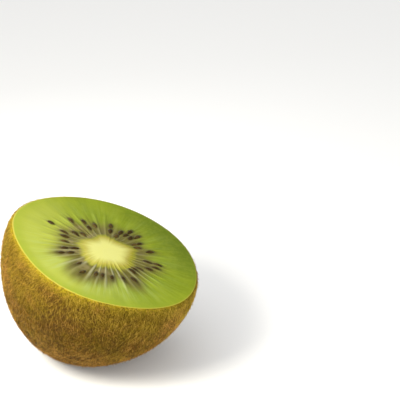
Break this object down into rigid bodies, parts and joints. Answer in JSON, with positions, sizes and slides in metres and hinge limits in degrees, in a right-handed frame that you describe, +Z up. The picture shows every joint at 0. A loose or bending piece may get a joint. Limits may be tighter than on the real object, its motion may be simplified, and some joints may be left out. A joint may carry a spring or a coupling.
{
  "type": "kiwi fruit half",
  "caption": "Half of a kiwi fruit cut across its middle, lying on its round side: green flesh with a pale core and dark seeds inside a brown hairy skin.",
  "frame": {"origin": "the middle of the small flat spot that the fruit rests on", "axes": "+Z up, -Y towards the viewer, +X to the viewer's right, which is the lower side of the cut face"},
  "size_m": [0.0515, 0.0519, 0.0396],
  "materials": {
    "flesh": "wet cut fruit, green with a cream core and darker seed chambers",
    "skin": "dry, dull brown peel",
    "hairs": "short stiff golden-brown hairs",
    "seeds": "smooth wet near-black seeds"
  },
  "bodies": {
    "root": {"kiwi_half": "flesh"}
  },
  "joints": []
}
